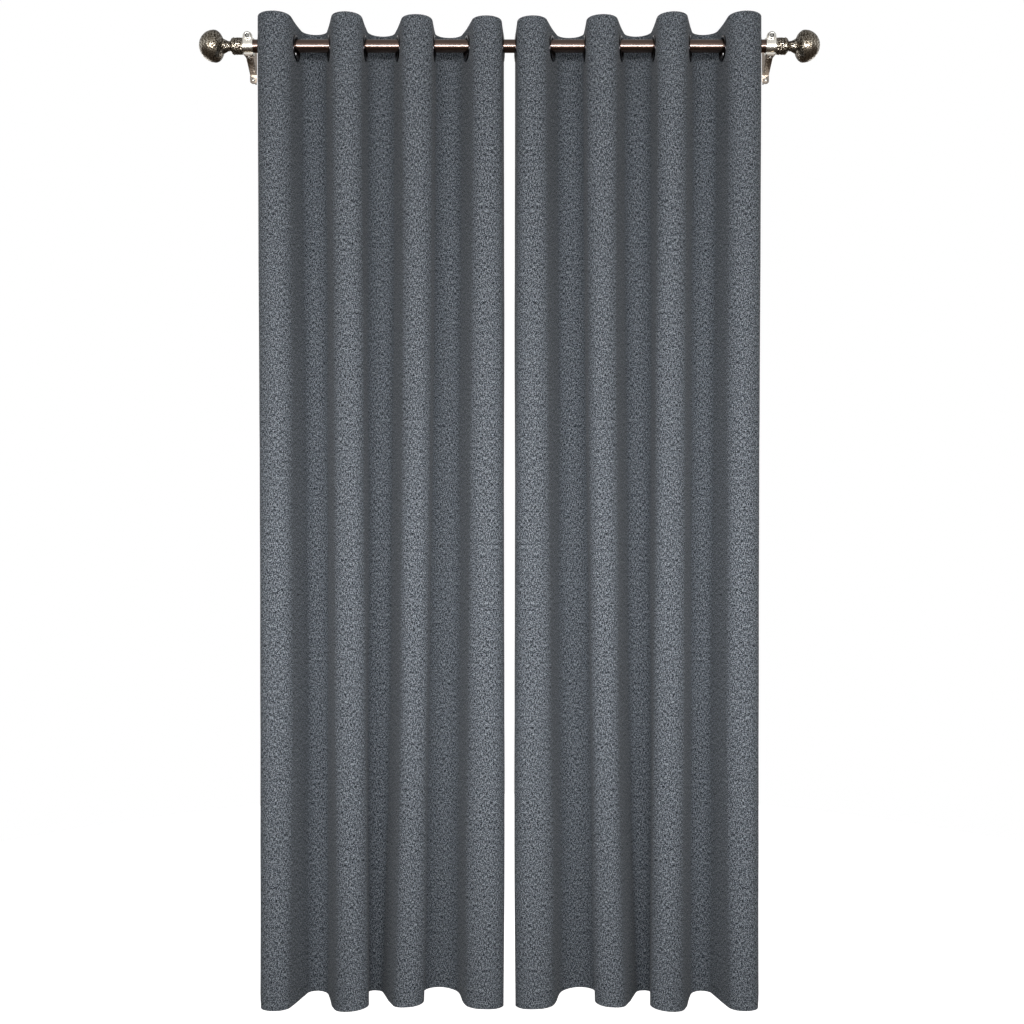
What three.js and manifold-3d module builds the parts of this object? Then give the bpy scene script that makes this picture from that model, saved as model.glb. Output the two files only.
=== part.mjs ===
// A pair of grommet-top curtain panels on a telescopic rod, with ball finials and two wall brackets.
// Millimetres. X runs along the rod, +Y points into the wall and +Z is up. The origin is on the wall,
// at the height of the rod's axis and midway between the two brackets.

import * as THREE from 'three';
import { mergeVertices } from 'three/addons/utils/BufferGeometryUtils.js';
import Module from 'manifold-3d';

const wasm = await Module();
wasm.setup();

// ---------------------------------------------------------------- driving sizes

const gap = 0.3; // between pieces that touch, slide or screw into each other

const panel = {
  width: 1320, // finished and laid flat
  length: 2134,
  aboveRod: 52, // top edge over the rod's axis
  cloth: 1,
  bottomHem: 100,
  sideHem: 25,
  hemRoll: 1, // how far a hem's second layer stands behind the cloth
  layerInset: 0.5, // turned layers stop this short of the cut edge
  seam: 3, // stitched strip that closes the header
  clearOfWall: 23,
};

const stiffener = { height: 100, thickness: 0.8, fromSideEdge: 6 };

const folds = {
  rings: 8, // per panel
  fullness: 2.342857, // cloth between two rings over the length of rod that it takes up
  betweenPanels: 32, // between the two leading rings
  freeEdge: 45, // cloth past the first and the last ring
  tilt: THREE.MathUtils.degToRad(10), // least lean of a flank from the wall's normal
  endTilt: THREE.MathUtils.degToRad(3), // the same at a panel's two end rings
  tiltStep: THREE.MathUtils.degToRad(0.5),
  ringToCrest: 3, // flat cloth that a ring leaves before the fold turns
  stepsPerCrest: 4,
};

const ring = {
  bore: 20,
  flangeWidth: 8, // from the bore to the ring's edge
  barrelWall: 1.2,
  flange: 2.6,
  crown: 3, // from the bore to the flange's highest line
  edge: 0.9, // height of the flange's square rim, which its face slopes up from
  back: 1.8,
  holeClearance: 0.5,
  sides: 14,
  holeSides: 12,
};

const tube = { radius: 14, wall: 1, innerLength: 1100, pastCradle: 19.7, sides: 24 };

const cradle = {
  width: 20.6,
  strap: 3,
  overScrew: 8.2, // from the retaining screw's axis to the top of the legs
  corner: 8.5, // radius of the legs' top corners
  cornerSegments: 5,
  footWidth: 14,
  foot: 2.7, // flat boss below the strap
  ringToCradle: 26, // outermost ring to the cradle's middle
};

const arm = {
  width: 15,
  thickness: 3,
  tab: 16, // flat end under the cradle, across the rod
  drop: 7.7, // of the top face from the cradle to the wall
  footShift: 9, // the foot stands this far outboard of the cradle
};

const wallPlate = {
  width: 15.6,
  thickness: 2.5,
  top: 34,
  bottom: 50,
  corner: 6,
  lowerScrew: 41,
  upperScrew: 25,
};

const retainingScrew = {
  overTube: 0.6, // clearance between the shank and the tube
  shank: 2,
  head: 8,
  headHeight: 5,
  recess: 4.1,
  recessDepth: 2.4,
  pastStrap: 2,
  tip: 0.8,
  sides: 20,
};

const cradleScrew = { shank: 2, head: 3.8, headHeight: 2.2, cover: 0.9, tip: 0.6, sides: 12 };

const wallScrew = { shank: 2.1, head: 4.1, headHeight: 2.4, reach: 32, tip: 7, sides: 12 };

const finial = {
  collarRadius: 18.5,
  collarLength: 22.4,
  collarRim: 1.3,
  rimWidth: 3,
  piercings: 6,
  piercingLength: 11,
  piercingWidth: 6,
  shoulder: 17.5,
  waist: 10.4,
  waistAt: 8, // past the collar
  seat: 17.2,
  neckLength: 22.3,
  ballRadius: 34,
  ballNeckSide: 20.5, // from the ball's widest ring to where its neck side would close
  ballBase: 16,
  plugDepth: 30,
  stud: 4,
  neckStud: 15,
  ballStud: 11,
  crestSteps: 5, // facets from the ball's widest ring to its tip
  shoulderSteps: 3, // and from its base to its widest ring
  sides: 20,
};

// ---------------------------------------------------------------- sizes that follow

const headerHalf = stiffener.thickness / 2 + gap + panel.cloth;
const headerTop = panel.aboveRod;
const panelBottom = panel.aboveRod - panel.length;
const facingBottom = headerTop - panel.cloth - 2 * gap - stiffener.height - panel.seam;
const flatSpacing = (panel.width - 2 * folds.freeEdge) / (folds.rings - 1);
const pitch = flatSpacing / folds.fullness; // between neighbouring rings along the rod

const ringRadius = ring.bore + ring.flangeWidth;
const barrelRadius = ring.bore + ring.barrelWall;
const holeRadius = (barrelRadius + ring.holeClearance) / Math.cos(Math.PI / ring.holeSides);
const ringSeat = headerHalf + gap; // from the middle of the header to either ring's inner face
const ringDrop = ring.bore * Math.cos(Math.PI / ring.sides) - tube.radius - gap;

const innerTubeRadius = tube.radius - tube.wall - gap;
const firstRingX = folds.betweenPanels / 2 + (folds.rings - 1) * pitch;
const cradleX = firstRingX + cradle.ringToCradle;
const cradleEnd = cradleX + cradle.width / 2;
const rodEnd = cradleEnd + tube.pastCradle;
const finialStart = cradleEnd + gap;

const leanedApart = extraTilt();
const foldLine = foldStations();
const foldDepth = Math.max(...foldLine.map((station) => Math.abs(station.y)));
const rodFromWall = foldDepth + headerHalf + panel.clearOfWall;

const strapInner = tube.radius + gap;
const strapOuter = strapInner + cradle.strap;
const cradleBottom = -strapOuter - cradle.foot;
const screwHeight = tube.radius + retainingScrew.overTube + retainingScrew.shank;
const cradleTop = screwHeight + cradle.overScrew;

// ---------------------------------------------------------------- materials

const slateLinen = material('slate_linen_cloth', '#6b7075', 0.95, 0);
const buckram = material('white_buckram', '#d9d6cd', 0.9, 0);
const blackNickel = material('black_nickel_rings', '#1d1c1e', 0.3, 0.9);
const pewterTube = material('pewter_bronze_tube', '#6a5f58', 0.28, 0.95);
const satinNickel = material('satin_nickel_brackets', '#a9a8a4', 0.35, 0.95);
const steelScrews = material('steel_screws', '#8d8c89', 0.35, 1);
const antiquePewter = material('antique_pewter_finials', '#5b524b', 0.42, 0.9);
const plugPlastic = material('dark_plug_plastic', '#242424', 0.6, 0);

function material(name, color, roughness, metalness) {
  return new THREE.MeshStandardMaterial({ name, color, roughness, metalness });
}

// ---------------------------------------------------------------- solid helpers

function toSolid(geometry) {
  const bare = geometry.clone();
  bare.deleteAttribute('normal');
  bare.deleteAttribute('uv');
  const merged = mergeVertices(bare, 1e-4);
  const triVerts = [];
  for (let i = 0; i < merged.index.count; i += 3) {
    const corners = [0, 1, 2].map((k) => merged.index.getX(i + k));
    if (new Set(corners).size === 3) triVerts.push(...corners);
  }
  return new wasm.Manifold(new wasm.Mesh({
    numProp: 3,
    vertProperties: new Float32Array(merged.attributes.position.array),
    triVerts: new Uint32Array(triVerts),
  }));
}

function toGeometry(solid) {
  const mesh = solid.getMesh();
  const geometry = new THREE.BufferGeometry();
  geometry.setAttribute('position', new THREE.BufferAttribute(mesh.vertProperties, 3));
  geometry.setIndex(new THREE.BufferAttribute(mesh.triVerts, 1));
  return geometry;
}

function join(geometries) {
  return toGeometry(geometries.map(toSolid).reduce((sum, solid) => sum.add(solid)));
}

function cut(geometry, tools) {
  return toGeometry(tools.map(toSolid).reduce((rest, tool) => rest.subtract(tool), toSolid(geometry)));
}

// A turned solid about Y. The profile is a list of [radius, height] that starts and ends on the axis
// or, when closed is true, returns to its first point.
function turned(profile, sides, closed = false) {
  const points = profile.map(([radius, height]) => new THREE.Vector2(radius, height));
  if (THREE.ShapeUtils.isClockWise(points)) points.reverse();
  if (closed) points.push(points[0].clone());
  return new THREE.LatheGeometry(points, sides);
}

function turnedAlongX(profile, sides, closed = false) {
  return turned(profile, sides, closed).rotateZ(-Math.PI / 2);
}

function turnedAlongZ(profile, sides) {
  return turned(profile, sides).rotateX(Math.PI / 2);
}

function sleeveAlongX(outer, inner, start, end, sides) {
  return turnedAlongX([[inner, start], [outer, start], [outer, end], [inner, end]], sides, true);
}

function rodAlongX(radius, start, end, sides) {
  return turnedAlongX([[0, start], [radius, start], [radius, end], [0, end]], sides);
}

// Extrudes an outline drawn in the YZ plane along X, centred on x = 0.
function extrudedAcross(shape, width, curveSegments = 8) {
  const geometry = new THREE.ExtrudeGeometry(shape, { depth: width, bevelEnabled: false, curveSegments });
  const yzPlane = new THREE.Matrix4().set(0, 0, 1, -width / 2, 1, 0, 0, 0, 0, 1, 0, 0, 0, 0, 0, 1);
  return geometry.applyMatrix4(yzPlane);
}

function polygon(points) {
  return new THREE.Shape(points.map(([x, y]) => new THREE.Vector2(x, y)));
}

// ---------------------------------------------------------------- folds

// How the cloth runs between two rings: straight flanks that lean together, closed by an arc that uses up
// exactly the flat spacing. It is worked out with y away from the rod, on either side of it.
function crest(startX, startTilt, endTilt) {
  const apex = startTilt + endTilt;
  const startSide = pitch * Math.cos(endTilt) / Math.sin(apex);
  const endSide = pitch * Math.cos(startTilt) / Math.sin(apex);
  const spare = startSide + endSide - flatSpacing;
  const radius = spare / (2 / Math.tan(apex / 2) - Math.PI + apex);
  const flank = startSide - radius / Math.tan(apex / 2);
  const centre = {
    x: startX + flank * Math.sin(startTilt) + radius * Math.cos(startTilt),
    y: flank * Math.cos(startTilt) - radius * Math.sin(startTilt),
  };
  return { centre, flank, from: Math.PI - startTilt, to: endTilt, radius };
}

// A loosely gathered panel leans its flanks further apart, until a ring lies flat on the shortest of them.
function extraTilt() {
  const needed = ringRadius + folds.ringToCrest;
  let extra = 0;
  while (crest(0, folds.endTilt + extra, folds.tilt + extra).flank < needed) extra += folds.tiltStep;
  return extra;
}

function tiltOf(index) {
  const atEnd = index === 0 || index === folds.rings - 1;
  return (atEnd ? folds.endTilt : folds.tilt) + leanedApart;
}

// The rings of the left panel from its outer edge inwards. Every second flank faces the other way.
function ringPlaces() {
  return Array.from({ length: folds.rings }, (_, index) => {
    const facing = index % 2 === 0 ? -1 : 1;
    const tilt = tiltOf(index);
    return {
      x: -firstRingX + index * pitch,
      facing,
      normal: { x: facing * Math.cos(tilt), y: -Math.sin(tilt) },
    };
  });
}

// The middle of the left panel's header seen from above, with y measured from the rod's axis and n the
// side of the cloth that faces the room.
function foldStations() {
  const places = ringPlaces();
  const edgeStation = (place) => ({
    x: place.x - place.facing * place.normal.y * folds.freeEdge,
    y: folds.freeEdge * Math.abs(place.normal.x),
    n: place.normal,
  });
  const stations = [edgeStation(places[0])];
  for (let index = 0; index < folds.rings - 1; index += 1) {
    const front = index % 2 === 0 ? -1 : 1;
    const { centre, radius, from, to } = crest(places[index].x, tiltOf(index), tiltOf(index + 1));
    for (let step = 0; step <= folds.stepsPerCrest; step += 1) {
      const angle = THREE.MathUtils.lerp(from, to, step / folds.stepsPerCrest);
      stations.push({
        x: centre.x + radius * Math.cos(angle),
        y: front * (centre.y + radius * Math.sin(angle)),
        n: { x: -front * Math.cos(angle), y: -Math.sin(angle) },
      });
    }
  }
  stations.push(edgeStation(places[folds.rings - 1]));
  return stations;
}

function offset(station, distance) {
  return [station.x + station.n.x * distance, station.y + station.n.y * distance];
}

// A stretch of cloth between two offsets from the fold line, both towards the room.
function sheet(stations, back, front, bottom, top) {
  const outline = [
    ...stations.map((station) => offset(station, front)),
    ...[...stations].reverse().map((station) => offset(station, back)),
  ];
  const geometry = new THREE.ExtrudeGeometry(polygon(outline), { depth: top - bottom, bevelEnabled: false });
  return geometry.translate(0, 0, bottom);
}

// The last stretch of the fold line, this far in from one of its two ends.
function edgeStretch(end, near, far) {
  const [edge, next] = end === 'outer' ? foldLine.slice(0, 2) : foldLine.slice(-2).reverse();
  const run = Math.hypot(next.x - edge.x, next.y - edge.y);
  const at = (distance) => ({
    x: THREE.MathUtils.lerp(edge.x, next.x, distance / run),
    y: THREE.MathUtils.lerp(edge.y, next.y, distance / run),
    n: edge.n,
  });
  return [at(near), at(far)];
}

function trimmedFoldLine(inset) {
  const [outer] = edgeStretch('outer', inset, inset);
  const [inner] = edgeStretch('inner', inset, inset);
  return [outer, ...foldLine.slice(1, -1), inner];
}

function ringHoles(radius) {
  const length = 6 * headerHalf;
  return ringPlaces().map((place) => {
    const hole = rodAlongX(radius, -length / 2, length / 2, ring.holeSides);
    hole.rotateZ(Math.atan2(place.normal.y, place.normal.x));
    return hole.translate(place.x, 0, -ringDrop);
  });
}

// ---------------------------------------------------------------- cloth pieces

function fabric() {
  const back = headerHalf - panel.cloth;
  const middle = headerHalf - panel.cloth / 2;
  const hemBack = back - panel.hemRoll;
  const hemTop = panelBottom + panel.bottomHem;
  const turnedLine = trimmedFoldLine(panel.layerInset);
  const layers = [
    sheet(foldLine, back, headerHalf, panelBottom, headerTop),
    sheet(turnedLine, -headerHalf, -back, facingBottom, headerTop),
    sheet(turnedLine, -middle, middle, headerTop - panel.cloth, headerTop),
    sheet(turnedLine, -middle, middle, facingBottom, facingBottom + panel.seam),
    sheet(turnedLine, hemBack, middle, panelBottom, panelBottom + panel.bottomHem),
    sheet(edgeStretch('outer', panel.layerInset, panel.sideHem), hemBack, middle, hemTop, facingBottom),
    sheet(edgeStretch('inner', panel.layerInset, panel.sideHem), hemBack, middle, hemTop, facingBottom),
  ];
  return cut(join(layers), ringHoles(holeRadius));
}

function headerStiffener() {
  const half = stiffener.thickness / 2;
  const top = headerTop - panel.cloth - gap;
  const strip = sheet(trimmedFoldLine(stiffener.fromSideEdge), -half, half, top - stiffener.height, top);
  return cut(strip, ringHoles(holeRadius));
}

// The face ring, with the barrel that goes through the cloth. Its face looks along +X.
function ringFront() {
  const barrelEnd = -ringSeat - ring.back;
  return turnedAlongX([
    [ring.bore, barrelEnd],
    [barrelRadius, barrelEnd],
    [barrelRadius, ringSeat],
    [ringRadius, ringSeat],
    [ringRadius, ringSeat + ring.edge],
    [ring.bore + ring.crown, ringSeat + ring.flange],
    [ring.bore, ringSeat + ring.edge],
  ], ring.sides, true);
}

function ringBack() {
  return sleeveAlongX(ringRadius, barrelRadius + gap, -ringSeat - ring.back, -ringSeat, ring.sides);
}

// ---------------------------------------------------------------- bracket pieces

function cradleStrap() {
  const shape = new THREE.Shape();
  shape.moveTo(-strapOuter, cradleTop);
  shape.lineTo(-strapOuter, 0);
  shape.absarc(0, 0, strapOuter, Math.PI, 2 * Math.PI, false);
  shape.lineTo(strapOuter, cradleTop);
  shape.lineTo(strapInner, cradleTop);
  shape.lineTo(strapInner, 0);
  shape.absarc(0, 0, strapInner, 2 * Math.PI, Math.PI, true);
  shape.lineTo(-strapInner, cradleTop);
  const footTop = -strapInner - cradle.strap / 2;
  const foot = new THREE.BoxGeometry(cradle.width, cradle.footWidth, footTop - cradleBottom);
  foot.translate(0, 0, (footTop + cradleBottom) / 2);
  const crossBore = turned([
    [0, -2 * strapOuter],
    [retainingScrew.shank + gap, -2 * strapOuter],
    [retainingScrew.shank + gap, 2 * strapOuter],
    [0, 2 * strapOuter],
  ], retainingScrew.sides).translate(0, 0, screwHeight);
  const boreTop = -strapInner - cradleScrew.cover;
  const footBore = turnedAlongZ([
    [0, 2 * cradleBottom],
    [cradleScrew.shank + gap, 2 * cradleBottom],
    [cradleScrew.shank + gap, boreTop],
    [0, boreTop],
  ], cradleScrew.sides);
  const strap = join([extrudedAcross(shape, cradle.width), foot]);
  return cut(strap, [crossBore, footBore, cornerWaste(-1), cornerWaste(1)]);
}

// What a round top corner takes off both legs of the cradle.
function cornerWaste(side) {
  const radius = cradle.corner;
  const beyond = radius + gap;
  const shape = new THREE.Shape();
  shape.moveTo(side * radius, 0);
  shape.absarc(0, 0, radius, side > 0 ? 0 : Math.PI, Math.PI / 2, side < 0);
  shape.lineTo(0, beyond);
  shape.lineTo(side * beyond, beyond);
  shape.lineTo(side * beyond, 0);
  const waste = new THREE.ExtrudeGeometry(shape, {
    depth: 4 * strapOuter,
    bevelEnabled: false,
    curveSegments: cradle.cornerSegments,
  });
  waste.rotateX(Math.PI / 2);
  return waste.translate(side * (cradle.width / 2 - radius), 2 * strapOuter, cradleTop - radius);
}

// Drawn about the rod's axis. The far end is moved outboard, because the foot stands clear of the curtain.
function armStrip(side) {
  const top = cradleBottom - gap;
  const bottom = top - arm.thickness;
  const root = rodFromWall - wallPlate.thickness / 2;
  const strip = extrudedAcross(polygon([
    [-arm.tab / 2, top],
    [-arm.tab / 2, bottom],
    [arm.tab / 2, bottom],
    [root, bottom - arm.drop],
    [root, top - arm.drop],
    [arm.tab / 2, top],
  ]), arm.width);
  const position = strip.attributes.position;
  for (let i = 0; i < position.count; i += 1) {
    const beyondTab = position.getY(i) > arm.tab;
    if (beyondTab) position.setX(i, position.getX(i) + side * arm.footShift);
  }
  return strip;
}

function plateOutline() {
  const half = wallPlate.width / 2;
  const { corner, top, bottom } = wallPlate;
  const shape = new THREE.Shape();
  shape.moveTo(-half, corner - bottom);
  shape.absarc(corner - half, corner - bottom, corner, Math.PI, 1.5 * Math.PI, false);
  shape.absarc(half - corner, corner - bottom, corner, 1.5 * Math.PI, 2 * Math.PI, false);
  shape.absarc(half - corner, top - corner, corner, 0, 0.5 * Math.PI, false);
  shape.absarc(corner - half, top - corner, corner, 0.5 * Math.PI, Math.PI, false);
  return shape;
}

function bracketArm(side) {
  const { thickness, lowerScrew, upperScrew } = wallPlate;
  const plate = new THREE.ExtrudeGeometry(plateOutline(), {
    depth: thickness,
    bevelEnabled: false,
    curveSegments: 5,
  });
  plate.rotateX(Math.PI / 2).translate(side * arm.footShift, rodFromWall, 0);
  const screwHole = (height) => turned([
    [0, -thickness],
    [wallScrew.shank + gap, -thickness],
    [wallScrew.shank + gap, 2 * thickness],
    [0, 2 * thickness],
  ], wallScrew.sides).translate(side * arm.footShift, rodFromWall - thickness, height);
  const tabHole = turnedAlongZ([
    [0, 2 * cradleBottom],
    [cradleScrew.shank + gap, 2 * cradleBottom],
    [cradleScrew.shank + gap, 0],
    [0, 0],
  ], cradleScrew.sides);
  return cut(join([armStrip(side), plate]), [screwHole(-lowerScrew), screwHole(upperScrew), tabHole]);
}

// A screw along Y: the head's outer face looks at the room and the shank points at the wall.
function screwAcross(screw, seat, tipAt) {
  return turned([
    [0, seat - screw.headHeight],
    [screw.head * 0.75, seat - screw.headHeight],
    [screw.head, seat - screw.headHeight * 0.6],
    [screw.head, seat],
    [screw.shank, seat],
    [screw.shank, tipAt - screw.tip],
    [0, tipAt],
  ], screw.sides);
}

function retainingScrewSolid() {
  const { shank, head, headHeight, recess, recessDepth, pastStrap, tip, sides } = retainingScrew;
  const seat = -strapOuter - gap;
  const face = seat - headHeight;
  const end = strapOuter + pastStrap;
  return turned([
    [0, face + recessDepth],
    [recess, face + recessDepth],
    [recess, face],
    [head - tip, face],
    [head, face + tip],
    [head, seat],
    [shank, seat],
    [shank, end - tip],
    [shank - tip, end],
    [0, end],
  ], sides);
}

function cradleScrewSolid() {
  const seat = cradleBottom - gap - arm.thickness - gap;
  const end = -strapInner - cradleScrew.cover - gap;
  return turnedAlongZ([
    [0, seat - cradleScrew.headHeight],
    [cradleScrew.head * 0.75, seat - cradleScrew.headHeight],
    [cradleScrew.head, seat - cradleScrew.headHeight * 0.5],
    [cradleScrew.head, seat],
    [cradleScrew.shank, seat],
    [cradleScrew.shank, end - cradleScrew.tip],
    [0, end],
  ], cradleScrew.sides);
}

// ---------------------------------------------------------------- finial pieces

// All four are drawn along +X from the cradle's outer edge, for a tube of the given outer radius.
function finialCollar(tubeRadius) {
  const bore = tubeRadius + gap;
  const low = finial.collarRadius - finial.collarRim;
  const sleeve = turnedAlongX([
    [bore, 0],
    [finial.collarRadius, 0],
    [finial.collarRadius, finial.rimWidth],
    [low, finial.rimWidth],
    [low, finial.collarLength - finial.rimWidth],
    [finial.collarRadius, finial.collarLength - finial.rimWidth],
    [finial.collarRadius, finial.collarLength],
    [bore, finial.collarLength],
  ], finial.sides, true);
  const piercings = Array.from({ length: finial.piercings }, (_, index) => {
    const oval = new THREE.CylinderGeometry(0.5, 0.5, 2 * finial.collarRadius, 8);
    oval.scale(finial.piercingLength, 1, finial.piercingWidth);
    oval.translate(finial.collarLength / 2, 1.5 * finial.collarRadius, 0);
    return oval.rotateX(2 * Math.PI * (index + 0.5) / finial.piercings);
  });
  return cut(sleeve, piercings);
}

function finialPlug(tubeRadius) {
  const start = tube.pastCradle - gap - finial.plugDepth;
  const tubeEnd = tube.pastCradle - gap;
  const bore = finial.stud + gap;
  return turnedAlongX([
    [bore, start],
    [tubeRadius - tube.wall - gap, start],
    [tubeRadius - tube.wall - gap, tubeEnd + gap],
    [tubeRadius, tubeEnd + gap],
    [tubeRadius, finial.collarLength],
    [bore, finial.collarLength],
  ], finial.sides, true);
}

function finialNeck() {
  const start = finial.collarLength + gap;
  const end = start + finial.neckLength;
  const socketFloor = end - finial.ballStud - gap;
  const socket = finial.stud + gap;
  return turnedAlongX([
    [0, start - finial.neckStud],
    [finial.stud, start - finial.neckStud],
    [finial.stud, start],
    [finial.shoulder, start],
    [finial.shoulder, start + finial.waistAt * 0.2],
    [finial.waist, start + finial.waistAt],
    [finial.waist + 0.6, start + finial.waistAt + 3],
    [finial.seat - 2.5, end - 7],
    [finial.seat, end - 2],
    [finial.seat, end],
    [socket, end],
    [socket, socketFloor],
    [0, socketFloor],
  ], finial.sides);
}

function finialBall() {
  const base = finial.collarLength + finial.neckLength + 2 * gap;
  const { ballRadius, ballNeckSide, ballBase, ballStud, stud } = finial;
  const baseAngle = Math.acos(ballBase / ballRadius);
  const widest = base + ballNeckSide * Math.sin(baseAngle);
  const profile = [[0, base - ballStud], [stud, base - ballStud], [stud, base]];
  for (let step = 0; step <= finial.shoulderSteps; step += 1) {
    const angle = baseAngle * (1 - step / finial.shoulderSteps);
    profile.push([ballRadius * Math.cos(angle), widest - ballNeckSide * Math.sin(angle)]);
  }
  for (let step = 1; step < finial.crestSteps; step += 1) {
    const angle = step / finial.crestSteps * Math.PI / 2;
    profile.push([ballRadius * Math.cos(angle), widest + ballRadius * Math.sin(angle)]);
  }
  profile.push([0, widest + ballRadius]);
  return turnedAlongX(profile, finial.sides);
}

// ---------------------------------------------------------------- assembly

const group = new THREE.Group();

function addPart(name, geometry, look, parent) {
  const mesh = new THREE.Mesh(geometry, look);
  mesh.name = name;
  parent.add(mesh);
  return mesh;
}

// The mirror image of a panel's geometry, with its faces turned the right way out again.
function mirrored(geometry) {
  const flipped = geometry.clone().applyMatrix4(new THREE.Matrix4().makeScale(-1, 1, 1));
  const index = flipped.index;
  for (let i = 0; i < index.count; i += 3) {
    const second = index.getX(i + 1);
    index.setX(i + 1, index.getX(i + 2));
    index.setX(i + 2, second);
  }
  return flipped;
}

function addPanel(name, side, onRod, cloth, strip) {
  const place = (geometry) => (side < 0 ? geometry : mirrored(geometry));
  addPart(`${name}_fabric`, place(cloth), slateLinen, onRod);
  addPart(`${name}_header_stiffener`, place(strip), buckram, onRod);
  ringPlaces().forEach(({ x, normal }, index) => {
    const holder = new THREE.Group();
    holder.position.set(-side * x, 0, -ringDrop);
    holder.rotation.z = Math.atan2(normal.y, -side * normal.x);
    onRod.add(holder);
    addPart(`${name}_ring_${index + 1}_front`, ringFront(), blackNickel, holder);
    addPart(`${name}_ring_${index + 1}_back`, ringBack(), blackNickel, holder);
  });
}

function addBracket(name, side, onRod) {
  const holder = new THREE.Group();
  holder.position.x = side * cradleX;
  onRod.add(holder);
  addPart(`${name}_bracket_cradle`, cradleStrap(), satinNickel, holder);
  addPart(`${name}_bracket_arm`, bracketArm(side), satinNickel, holder);
  const retaining = addPart(`${name}_retaining_screw`, retainingScrewSolid(), steelScrews, holder);
  retaining.position.z = screwHeight;
  addPart(`${name}_cradle_screw`, cradleScrewSolid(), steelScrews, holder);
  const seat = rodFromWall - wallPlate.thickness - gap;
  const screws = { lower: -wallPlate.lowerScrew, upper: wallPlate.upperScrew };
  for (const [where, height] of Object.entries(screws)) {
    const screw = screwAcross(wallScrew, seat, rodFromWall + wallScrew.reach);
    const mesh = addPart(`${name}_wall_screw_${where}`, screw, steelScrews, holder);
    mesh.position.set(side * arm.footShift, 0, height);
  }
}

function addFinial(name, side, tubeRadius, onRod) {
  const holder = new THREE.Group();
  holder.position.x = side * finialStart;
  holder.rotation.z = side < 0 ? Math.PI : 0;
  onRod.add(holder);
  addPart(`${name}_finial_collar`, finialCollar(tubeRadius), antiquePewter, holder);
  addPart(`${name}_finial_plug`, finialPlug(tubeRadius), plugPlastic, holder);
  addPart(`${name}_finial_neck`, finialNeck(), antiquePewter, holder);
  addPart(`${name}_finial_ball`, finialBall(), antiquePewter, holder);
}

const onRod = new THREE.Group();
onRod.position.y = -rodFromWall;
group.add(onRod);

const outerTube = sleeveAlongX(tube.radius, tube.radius - tube.wall, -rodEnd, cradleEnd, tube.sides);
addPart('outer_tube', outerTube, pewterTube, onRod);
const innerStart = rodEnd - tube.innerLength;
const innerTube = sleeveAlongX(innerTubeRadius, innerTubeRadius - tube.wall, innerStart, rodEnd, tube.sides);
addPart('inner_tube', innerTube, pewterTube, onRod);

const cloth = fabric();
const strip = headerStiffener();
addPanel('left', -1, onRod, cloth, strip);
addPanel('right', 1, onRod, cloth, strip);
addBracket('left', -1, onRod);
addBracket('right', 1, onRod);
addFinial('left', -1, tube.radius, onRod);
addFinial('right', 1, innerTubeRadius, onRod);

export default group;
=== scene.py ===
"""Grommet curtain panels on a telescopic rod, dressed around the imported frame.

The file is laid out as an add-on: settings, one operator for each kind of piece and one for the stage,
and a panel that lists them. It is run as a script. All lengths are in metres.
"""

import math

import bpy
import numpy as np
from bpy.props import FloatProperty, FloatVectorProperty, IntProperty, PointerProperty
from mathutils import Matrix, Vector, noise


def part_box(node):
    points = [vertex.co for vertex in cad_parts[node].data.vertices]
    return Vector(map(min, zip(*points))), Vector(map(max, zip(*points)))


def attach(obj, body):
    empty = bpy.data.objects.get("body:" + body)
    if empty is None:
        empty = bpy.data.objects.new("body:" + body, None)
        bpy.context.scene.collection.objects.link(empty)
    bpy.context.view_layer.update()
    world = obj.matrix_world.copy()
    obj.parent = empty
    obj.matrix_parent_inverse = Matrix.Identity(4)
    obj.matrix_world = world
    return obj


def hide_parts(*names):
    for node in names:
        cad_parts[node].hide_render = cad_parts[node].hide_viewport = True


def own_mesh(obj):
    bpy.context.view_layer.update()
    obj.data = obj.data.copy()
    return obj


bl_info = {
    "name": "Grommet Curtain Panels",
    "version": (1, 0, 0),
    "blender": (4, 5, 0),
    "location": "3D View > Sidebar > Curtain",
    "description": "Builds the cloth, rings, rod, finials, brackets and studio of a pair of curtains",
    "category": "Object",
}

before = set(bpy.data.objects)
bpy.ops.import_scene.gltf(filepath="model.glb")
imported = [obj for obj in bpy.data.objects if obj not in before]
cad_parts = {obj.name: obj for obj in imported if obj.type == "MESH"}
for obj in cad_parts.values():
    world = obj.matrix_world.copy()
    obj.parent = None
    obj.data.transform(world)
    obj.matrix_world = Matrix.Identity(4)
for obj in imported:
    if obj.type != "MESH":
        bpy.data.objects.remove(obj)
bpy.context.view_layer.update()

ROOT = "rod_and_brackets"
SIDES = {"left": -1, "right": 1}
RINGS = 8
MM = 0.001


# ------------------------------------------------------------------ colours and settings


def srgb(code):
    """A hex colour as linear red, green, blue and alpha."""
    channels = [int(code[i:i + 2], 16) / 255 for i in (1, 3, 5)]
    return (*[c / 12.92 if c <= 0.04045 else ((c + 0.055) / 1.055) ** 2.4 for c in channels], 1.0)


def colour_property(name, code, description):
    return FloatVectorProperty(
        name=name, description=description, default=srgb(code), size=4, min=0, max=1, subtype="COLOR"
    )


def length_property(name, millimetres, description):
    return FloatProperty(
        name=name, description=description, default=millimetres * MM, min=0, unit="LENGTH", precision=5
    )


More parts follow.
